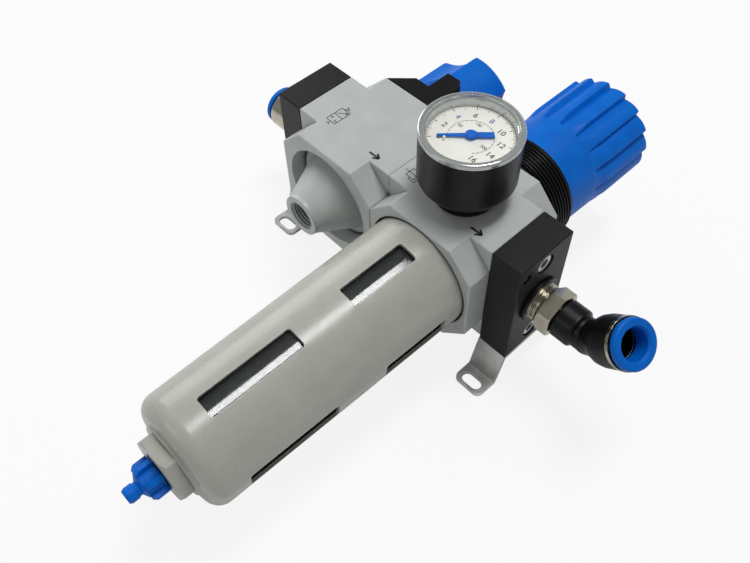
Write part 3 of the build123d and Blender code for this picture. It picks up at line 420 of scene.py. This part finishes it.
def finishMesh(name, mesh, material, body, smooth=True):
    work = bmesh.new()
    work.from_mesh(mesh)
    bmesh.ops.remove_doubles(work, verts=work.verts, dist=1e-7)
    bmesh.ops.dissolve_degenerate(work, edges=work.edges, dist=1e-7)
    bmesh.ops.recalc_face_normals(work, faces=work.faces)
    work.to_mesh(mesh)
    work.free()
    mesh.polygons.foreach_set("use_smooth", np.full(len(mesh.polygons), smooth))
    if smooth:
        mesh.set_sharp_from_angle(angle=math.radians(35))
    mesh.materials.append(material)
    piece = bpy.data.objects.new(name, mesh)
    bpy.context.scene.collection.objects.link(piece)
    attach(piece, body)
    return piece


def centreOf(node):
    low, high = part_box(node)
    return (low + high) / 2


def sweptGrid(radii, levels, angles, axis, foot):
    # rows of points round the vertical axis, radii and levels in millimetres, foot in metres
    x = axis.x + radii * np.cos(angles) * mm
    y = axis.y + radii * np.sin(angles) * mm
    z = np.broadcast_to((foot + levels * mm)[:, None], x.shape)
    return np.stack([x, y, z], axis=-1)


# pressure knob: a smooth skirt below, lobes above that rise gently one way and drop steeply at a step
pressureKnob = dict(lobes=16, turn=19.5, skirtFoot=22.7, skirtTop=23.0, valley=21.9, tip=24.1, drop=0.88,
                    ribStart=60.5, ledge=0.6, blend=9.0, topRound=1.6, bore=20.2, roof=3.0)


def knobGrid(low, high, axis):
    # lobe radius: from the valley a quarter sine up to the tip, then a straight drop over the last share
    p = pressureKnob
    share = np.concatenate([np.linspace(0, p["drop"], 18), np.linspace(p["drop"], 1, 8)[1:-1]])
    turns = (np.arange(p["lobes"])[:, None] + share[None, :]).ravel() / p["lobes"]
    angles = np.radians(p["turn"]) + turns * 2 * math.pi
    rise = np.sin(np.minimum(share / p["drop"], 1) * math.pi / 2)
    fall = np.clip((1 - share) / (1 - p["drop"]), 0, 1)
    lobe = np.tile(p["valley"] + (p["tip"] - p["valley"]) * rise * fall, p["lobes"])
    height = (high - low) / mm
    start = p["ribStart"] - low / mm
    heights = np.concatenate([
        [0.0, 0.0, 0.4, 2.0, 6.0, 10.0, start - 2.0], start + np.linspace(-0.4, p["ledge"] + 0.2, 6),
        start + np.linspace(1.5, p["blend"], 8), np.linspace(start + p["blend"] + 2, height - 3.2, 5),
        height - p["topRound"] * (1 - np.sin(np.linspace(0.1, 1.57, 7))),
    ])
    skirt = p["skirtFoot"] + (p["skirtTop"] - p["skirtFoot"]) * np.clip(heights / start, 0, 1)
    reach = np.where(lobe < p["skirtTop"], p["ledge"], p["blend"])
    step = np.clip((heights[:, None] - start) / reach[None, :], 0, 1)
    step = step * step * (3 - 2 * step)
    radius = skirt[:, None] + (lobe[None, :] - skirt[:, None]) * step
    radius[0] = skirt[0] - 0.5
    edge = np.clip((heights - (height - p["topRound"])) / p["topRound"], 0, 1)
    radius -= (p["topRound"] * (1 - np.sqrt(1 - edge ** 2)))[:, None]
    ring = np.ones_like(angles)[None, :]
    inner = np.array([[0.0, height - p["roof"]], [p["bore"] - 0.6, height - p["roof"]],
                      [p["bore"], height - p["roof"] - 0.8], [p["bore"], 0.4], [p["bore"] + 0.4, 0.0]])
    crown = np.array([[radius[-1].min() - 1.2, height], [17.5, height], [17.0, height - 0.8],
                      [6.0, height - 0.8], [5.6, height - 0.4], [0.0, height - 0.4]])
    radii = np.concatenate([inner[:, :1] * ring, radius, crown[:, :1] * ring])
    levels = np.concatenate([inner[:, 1], heights, crown[:, 1]])
    return sweptGrid(radii, levels, angles, axis, low)


low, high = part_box("regulator_knob")
knob = shellObject("pressure_knob", knobGrid(low.z, high.z, centreOf("regulator_knob")), blue,
                   "pressure_handle")
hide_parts("regulator_knob")
print("pressure knob made")

# valve knob: a drum with three scallops, each with a deeper finger scoop in its lower half
valveKnob = dict(radius=22.0, cutter=30.0, distance=46.3, first=-126.0, count=3, topRound=2.2, scoopTop=17.0,
                 scoopDepth=3.2, scoopHalf=26.0, bore=13.0, roof=4.0)


def valveKnobGrid(low, high, axis):
    # scallop radius: where a ray at that angle meets the cutter's circle
    # a scoop takes more off below an arch
    p = valveKnob
    angles = np.linspace(0, 2 * math.pi, 432, endpoint=False)
    pitch = 360 / p["count"]
    off = (np.degrees(angles) - p["first"] + pitch / 2) % pitch - pitch / 2
    sine = np.sin(np.radians(off))
    inside = np.clip(p["cutter"] ** 2 - (p["distance"] * sine) ** 2, 0, None)
    ray = p["distance"] * np.cos(np.radians(off)) - np.sqrt(inside)
    plan = np.where(np.abs(p["distance"] * sine) < p["cutter"], np.minimum(ray, p["radius"]), p["radius"])
    height = (high - low) / mm
    heights = np.concatenate([[0.0, 0.0, 0.5], np.linspace(1.5, height - 3.0, 40),
                              height - p["topRound"] * (1 - np.sin(np.linspace(0.1, 1.57, 7)))])
    reach = np.clip(1 - (off / p["scoopHalf"]) ** 2, 0, 1)
    arch = p["scoopTop"] * np.sqrt(reach)
    blend = np.clip((arch[None, :] - heights[:, None]) / 1.6, 0, 1)
    blend = blend * blend * (3 - 2 * blend)
    radius = plan[None, :] - p["scoopDepth"] * blend * reach[None, :] ** 0.3
    radius[0] = radius[1] - 0.4
    edge = np.clip((heights - (height - p["topRound"])) / p["topRound"], 0, 1)
    radius = radius - (p["topRound"] * (1 - np.sqrt(1 - edge ** 2)))[:, None]
    ring = np.ones_like(angles)[None, :]
    roof, bore = height - p["roof"], p["bore"] - 1.0
    inner = np.array([[0.0, roof], [bore, roof], [bore, 0.0]])
    top = radius[-1]
    crown = np.stack([top - 1.0, top * 0.7, np.zeros_like(top)])
    crownHeights = np.array([height, height, height])
    radii = np.concatenate([inner[:, :1] * ring, radius, crown])
    levels = np.concatenate([inner[:, 1], heights, crownHeights])
    return sweptGrid(radii, levels, angles, axis, low)


low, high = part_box("valve_knob")
turnKnob = shellObject("shutoff_knob", valveKnobGrid(low.z, high.z, centreOf("valve_spindle")), blue,
                       "valve_handle")
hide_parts("valve_knob")
print("valve knob made")

# gauge: bezel rings, figures, ticks; radii in millimetres, angles in degrees, values in bar
gauge = dict(radius=19.65, bore=17.1, height=2.0, crown=0.9, flange=2.4, zero=225.0, sweep=270.0, full=16,
             figureR=11.3, figureSize=3.5, tickOuter=16.4, tickLong=2.0, tickShort=1.1, arcR=8.6,
             smallR=6.9, smallSize=1.9, stopPin=1.6, printLift=0.05)
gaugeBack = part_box("gauge_bezel")[1].y
gaugeX, gaugeZ = centreOf("gauge_bezel").x, centreOf("gauge_bezel").z
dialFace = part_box("gauge_dial")[0].y + gauge["stopPin"] * mm


def turnedShell(name, profile, centre, material, body, steps=192):
    # a closed outline of (radius, distance forward of centre) swept round the gauge axis
    outline = np.array(profile + profile[:1]) * mm
    angles = np.linspace(0, 2 * math.pi, steps, endpoint=False)
    x = centre[0] + outline[:, :1] * np.cos(angles)
    z = centre[2] + outline[:, :1] * np.sin(angles)
    y = np.broadcast_to(centre[1] - outline[:, 1:2], x.shape)
    return shellObject(name, np.stack([x, y, z], axis=-1), material, body)


def bezelProfile():
    # from the inner flange outwards: two beads with a groove between, then a rounded rim down to the case
    g = gauge
    top, rounding = g["height"], g["crown"]
    beads = [(0.2, 0.0), (0.2, -g["flange"]), (-0.7, -g["flange"]), (-0.5, top - 1.3),
             (-0.2, top - 1.0), (0.2, top - 1.0), (0.4, top - 0.2), (0.7, top - 0.2),
             (0.9, top - 0.7), (1.2, top - 0.7), (1.4, top)]
    crown = [(g["radius"] - rounding + rounding * math.sin(a), top - rounding + rounding * math.cos(a))
             for a in np.linspace(0, math.pi / 2, 7)]
    return [(g["bore"] + out, level) for out, level in beads] + crown + [(g["radius"], 0.0)]


bezel = turnedShell("gauge_rim", bezelProfile(), (gaugeX, gaugeBack, gaugeZ), rim, "unit")
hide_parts("gauge_bezel")


def dialAngle(value):
    return math.radians(gauge["zero"] - gauge["sweep"] * value / gauge["full"])


def flatPrint(name, outlines, material, body, origin, across, up, thickness=0.03):
    # thin raised print: each outline, in millimetres across and up, becomes a closed slab
    points, faces = [], []
    outward = np.cross(across, up)
    for outline in outlines:
        flat = np.array(outline) * mm
        base = np.array(origin) + flat[:, :1] * np.array(across) + flat[:, 1:2] * np.array(up)
        count = len(outline)
        start = len(points)
        points += base.tolist() + (base + outward * thickness * mm).tolist()
        faces.append([start + i for i in reversed(range(count))])
        faces.append([start + count + i for i in range(count)])
        faces += [[start + i, start + (i + 1) % count, start + count + (i + 1) % count, start + count + i]
                  for i in range(count)]
    mesh = bpy.data.meshes.new(name)
    mesh.from_pydata(points, [], faces)
    return finishMesh(name, mesh, material, body, smooth=False)


def strokeOutline(start, end, width):
    # rectangle along a line
    a, b = np.array(start, float), np.array(end, float)
    side = np.array([-(b - a)[1], (b - a)[0]]) / np.linalg.norm(b - a) * width / 2
    return [tuple(a - side), tuple(b - side), tuple(b + side), tuple(a + side)]


def radialStroke(angle, inner, outer, width):
    direction = np.array([math.cos(angle), math.sin(angle)])
    return strokeOutline(direction * inner, direction * outer, width)


def arcStrokes(radius, first, last, width, steps):
    # an arc as short strokes end to end
    angles = np.linspace(first, last, steps + 1)
    ends = np.stack([np.cos(angles), np.sin(angles)], axis=1) * radius
    return [strokeOutline(ends[i], ends[i + 1], width) for i in range(steps)]


def figureMesh(name, text, size, place, across, up, material, body, thickness=0.03):
    # a text curve made a mesh, then set in place by its own matrix
    curve = bpy.data.curves.new(name, "FONT")
    curve.body = text
    curve.size = size * mm
    curve.align_x = "CENTER"
    curve.align_y = "CENTER"
    curve.extrude = thickness * mm / 2
    curve.resolution_u = 4
    holder = bpy.data.objects.new(name + "_text", curve)
    bpy.context.scene.collection.objects.link(holder)
    bpy.context.view_layer.update()
    mesh = bpy.data.meshes.new_from_object(holder)
    bpy.data.objects.remove(holder)
    outward = Vector(across).cross(Vector(up))
    turn = Matrix((across, up, outward)).transposed().to_4x4()
    mesh.transform(Matrix.Translation(Vector(place)) @ turn)
    mesh.materials.clear()
    return finishMesh(name, mesh, material, body, smooth=False)


across, up = (1.0, 0.0, 0.0), (0.0, 0.0, 1.0)
dialOrigin = (gaugeX, dialFace - gauge["printLift"] * mm, gaugeZ)
g = gauge
ticks = []
for step in range(g["full"] * 5 + 1):
    value = step / 5
    length = g["tickLong"] if step % 5 == 0 else g["tickShort"]
    width = 0.26 if step % 10 == 0 else 0.14
    ticks.append(radialStroke(dialAngle(value), g["tickOuter"] - length, g["tickOuter"], width))
ticks += arcStrokes(g["tickOuter"], dialAngle(g["full"]), dialAngle(0), 0.12, 80)
flatPrint("dial_ticks", ticks, blackInk, "unit", dialOrigin, across, up)
innerTicks = arcStrokes(g["arcR"], dialAngle(g["full"]), dialAngle(0), 0.1, 60)
psiPerBar = 14.5
for psi in range(0, 231, 10):
    length = 0.9 if psi % 50 == 0 else 0.5
    innerTicks.append(radialStroke(dialAngle(psi / psiPerBar), g["arcR"] - length, g["arcR"], 0.12))
flatPrint("dial_inner_scale", innerTicks, blackInk, "unit", dialOrigin, across, up)


def dialPoint(value, radius):
    angle = dialAngle(value)
    return (gaugeX + radius * math.cos(angle) * mm, dialOrigin[1], gaugeZ + radius * math.sin(angle) * mm)


for value in range(0, g["full"] + 1, 2):
    ink = blueInk if value in (4, 8) else blackInk
    figureMesh(f"dial_figure_{value}", str(value), g["figureSize"], dialPoint(value, g["figureR"]),
               across, up, ink, "unit")
for psi in (50, 100, 150, 200):
    figureMesh(f"dial_small_{psi}", str(psi), g["smallSize"], dialPoint(psi / psiPerBar, g["smallR"]),
               across, up, blackInk, "unit")
flatPrint("dial_red_mark", [radialStroke(dialAngle(15.0), g["tickOuter"] - 2.3, g["tickOuter"] + 0.5, 0.45)],
          redInk, "unit", dialOrigin, across, up, 0.06)
print("gauge made")

# printed flow arrows on the two front faces
arrow = dict(length=5.6, head=3.2, rake=0.75, stroke=0.95, lift=0.02, height=-11.3, starts=(-15.0, 41.0))


def arrowOutlines(x, z):
    a = arrow
    tip = x + a["length"]
    back = tip - a["head"] * a["rake"]
    return [
        strokeOutline((x, z), (tip - 0.4, z), a["stroke"]),
        strokeOutline((back, z + a["head"] / 2), (tip, z), a["stroke"]),
        strokeOutline((back, z - a["head"] / 2), (tip, z), a["stroke"]),
    ]


# internal thread of the exhaust port, as plain ridges of triangular section
port = dict(outer=6.53, inner=6.0, pitch=1.34, turns=9, start=0.8)


def portThread(foot, axis, steps=96):
    # a closed outline of teeth up the bore wall, swept round the vertical axis
    p = port
    count = p["turns"] * 2 + 1
    levels = p["start"] + np.arange(count) * p["pitch"] / 2
    radii = np.where(np.arange(count) % 2 == 0, p["outer"], p["inner"])
    radii = np.concatenate([radii, [p["outer"] + 0.02, p["outer"] + 0.02, p["outer"]]])
    levels = np.concatenate([levels, [levels[-1], p["start"], p["start"]]])
    angles = np.linspace(0, 2 * math.pi, steps, endpoint=False)
    return sweptGrid(radii[:, None], levels, angles, axis, foot)


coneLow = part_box("exhaust_cone")[0].z
shellObject("exhaust_thread", portThread(coneLow, centreOf("exhaust_cone")), enamel, "unit")

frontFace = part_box("regulator_body")[0].y
printOrigin = (0.0, frontFace - arrow["lift"] * mm, 0.0)
arrows = [outline for start in arrow["starts"] for outline in arrowOutlines(start, arrow["height"])]
flatPrint("flow_arrows", arrows, blackInk, "unit", printOrigin, across, up)
# two plain pneumatic symbols, with no lettering: a shut-off valve and a pressure regulator
symbol = dict(stroke=0.3, valve=(-42.5, -10.5), valveCell=(5.2, 4.4),
              regulator=(4.2, -9.5), regulatorCell=(4.4, 4.4))


def symbolOutlines(corner, cell, lines):
    # each line runs between two places given in cells from the corner
    corner, cell = np.array(corner), np.array(cell)
    return [strokeOutline(corner + cell * np.array(a), corner + cell * np.array(b), symbol["stroke"])
            for a, b in lines]


box = [((0, 0), (1, 0)), ((1, 0), (1, 1)), ((1, 1), (0, 1)), ((0, 1), (0, 0))]
upperBox = [((0, 1), (0, 2)), ((0, 2), (1, 2)), ((1, 2), (1, 1))]
flowLine = [((0.1, 1.15), (0.9, 1.85)), ((0.9, 1.85), (0.62, 1.8)), ((0.9, 1.85), (0.84, 1.55))]
stoppers = [((0, 0.5), (0.3, 0.5)), ((0.3, 0.35), (0.3, 0.65)),
            ((1, 0.3), (0.7, 0.3)), ((0.7, 0.15), (0.7, 0.45))]
handle = [((0.5, 0), (0.5, -0.35)), ((0.3, -0.35), (0.7, -0.35))]
spring = [((0.5, 2), (0.3, 2.1)), ((0.3, 2.1), (0.7, 2.25)),
          ((0.7, 2.25), (0.3, 2.4)), ((0.3, 2.4), (0.5, 2.5))]
through = [((-0.5, 0.5), (1.5, 0.5)), ((1, 0.5), (0.75, 0.62)), ((1, 0.5), (0.75, 0.38))]
pilot = [((1.25, 0.5), (1.25, -0.25)), ((1.25, -0.25), (0.5, -0.25)), ((0.5, -0.25), (0.5, 0))]
topSpring = [((0.5, 1), (0.3, 1.12)), ((0.3, 1.12), (0.7, 1.28)), ((0.7, 1.28), (0.5, 1.4))]
valveLines = box + upperBox + flowLine + stoppers + handle + spring
symbolLines = symbolOutlines(symbol["valve"], symbol["valveCell"], valveLines)
regulatorLines = box + through + pilot + topSpring
symbolLines += symbolOutlines(symbol["regulator"], symbol["regulatorCell"], regulatorLines)
flatPrint("flow_symbols", symbolLines, blackInk, "unit", printOrigin, across, up)
print("prints made")

# stage, lights, camera
stage = dict(gap=0.4, half=3.0, cameraShare=0.85)


def stagePlane():
    # a large sheet just behind the wall feet, seen only from its front
    back = cadBox[1][1] + stage["gap"] * mm
    half = stage["half"]
    mesh = bpy.data.meshes.new("wallSheet")
    mesh.from_pydata([(-half, back, -half), (half, back, -half), (half, back, half), (-half, back, half)],
                     [], [(0, 1, 2, 3)])
    sheet = bpy.data.objects.new("wallSheet", mesh)
    bpy.context.scene.collection.objects.link(sheet)
    material, tree, output, coords = startMaterial("whitePaper")
    # matt white paper; camera rays get some of its white directly, so that only the shadow shows
    diffuse = addNode(tree, "ShaderNodeBsdfDiffuse", {"Color": linearColour("#F2F2F2")})
    glow = addNode(tree, "ShaderNodeEmission", {"Color": (1, 1, 1, 1), "Strength": 1.0})
    path = addNode(tree, "ShaderNodeLightPath")
    share = addNode(tree, "ShaderNodeMath", {0: path.outputs["Is Camera Ray"], 1: stage["cameraShare"]},
                    operation="MULTIPLY")
    lit = addNode(tree, "ShaderNodeMixShader", {
        0: share.outputs[0], 1: diffuse.outputs[0], 2: glow.outputs[0],
    })
    clear = addNode(tree, "ShaderNodeBsdfTransparent")
    facing = addNode(tree, "ShaderNodeNewGeometry")
    both = addNode(tree, "ShaderNodeMixShader", {
        0: facing.outputs["Backfacing"], 1: lit.outputs[0], 2: clear.outputs[0],
    })
    tree.links.new(both.outputs[0], output.inputs["Surface"])
    mesh.materials.append(material)


def areaLight(name, place, aim, size, power):
    light = bpy.data.lights.new(name, "AREA")
    light.shape = "RECTANGLE"
    light.size, light.size_y = size
    light.energy = power
    lamp = bpy.data.objects.new(name, light)
    lamp.location = place
    lamp.rotation_euler = (Vector(aim) - Vector(place)).to_track_quat("-Z", "Y").to_euler()
    bpy.context.scene.collection.objects.link(lamp)


def whiteWorld(strength):
    world = bpy.data.worlds.new("whiteRoom")
    world.use_nodes = True
    tree = world.node_tree
    tree.nodes.clear()
    path = addNode(tree, "ShaderNodeLightPath")
    seen = addNode(tree, "ShaderNodeMath", {
        0: path.outputs["Is Camera Ray"], 1: path.outputs["Is Transmission Ray"],
    }, operation="MAXIMUM")
    plain = addNode(tree, "ShaderNodeBackground", {"Color": (1, 1, 1, 1), "Strength": strength})
    white = addNode(tree, "ShaderNodeBackground", {"Color": (1, 1, 1, 1), "Strength": 1.0})
    mixed = addNode(tree, "ShaderNodeMixShader", {
        0: seen.outputs[0], 1: plain.outputs[0], 2: white.outputs[0],
    })
    output = addNode(tree, "ShaderNodeOutputWorld")
    tree.links.new(mixed.outputs[0], output.inputs["Surface"])
    bpy.context.scene.world = world


cameraView = dict(place=(0.16462, -0.30883, -0.17141), forward=(-0.44407, 0.80280, 0.39789),
                  up=(-0.57745, -0.59598, 0.55800), lens=39.16)


def setCamera():
    view = cameraView
    camera = bpy.data.cameras.new("camera")
    camera.lens = view["lens"]
    camera.sensor_width = 36.0
    camera.clip_start = 0.01
    holder = bpy.data.objects.new("camera", camera)
    back = -Vector(view["forward"]).normalized()
    side = Vector(view["up"]).cross(back).normalized()
    top = back.cross(side)
    turn = Matrix((side, top, back)).transposed().to_4x4()
    holder.matrix_world = Matrix.Translation(Vector(view["place"])) @ turn
    bpy.context.scene.collection.objects.link(holder)
    bpy.context.scene.camera = holder


stagePlane()
whiteWorld(0.27)
target = (0.0, -0.05, -0.02)
areaLight("keyLight", (0.07, -1.13, 0.2), target, (0.25, 0.5), 6.6)
areaLight("leftLight", (-0.95, -0.45, 0.2), target, (0.6, 0.6), 3.4)
areaLight("lowLight", (-0.3, -0.5, -0.9), target, (0.5, 0.3), 0.8)
setCamera()
bpy.context.scene.view_settings.view_transform = "Standard"
print("stage made")
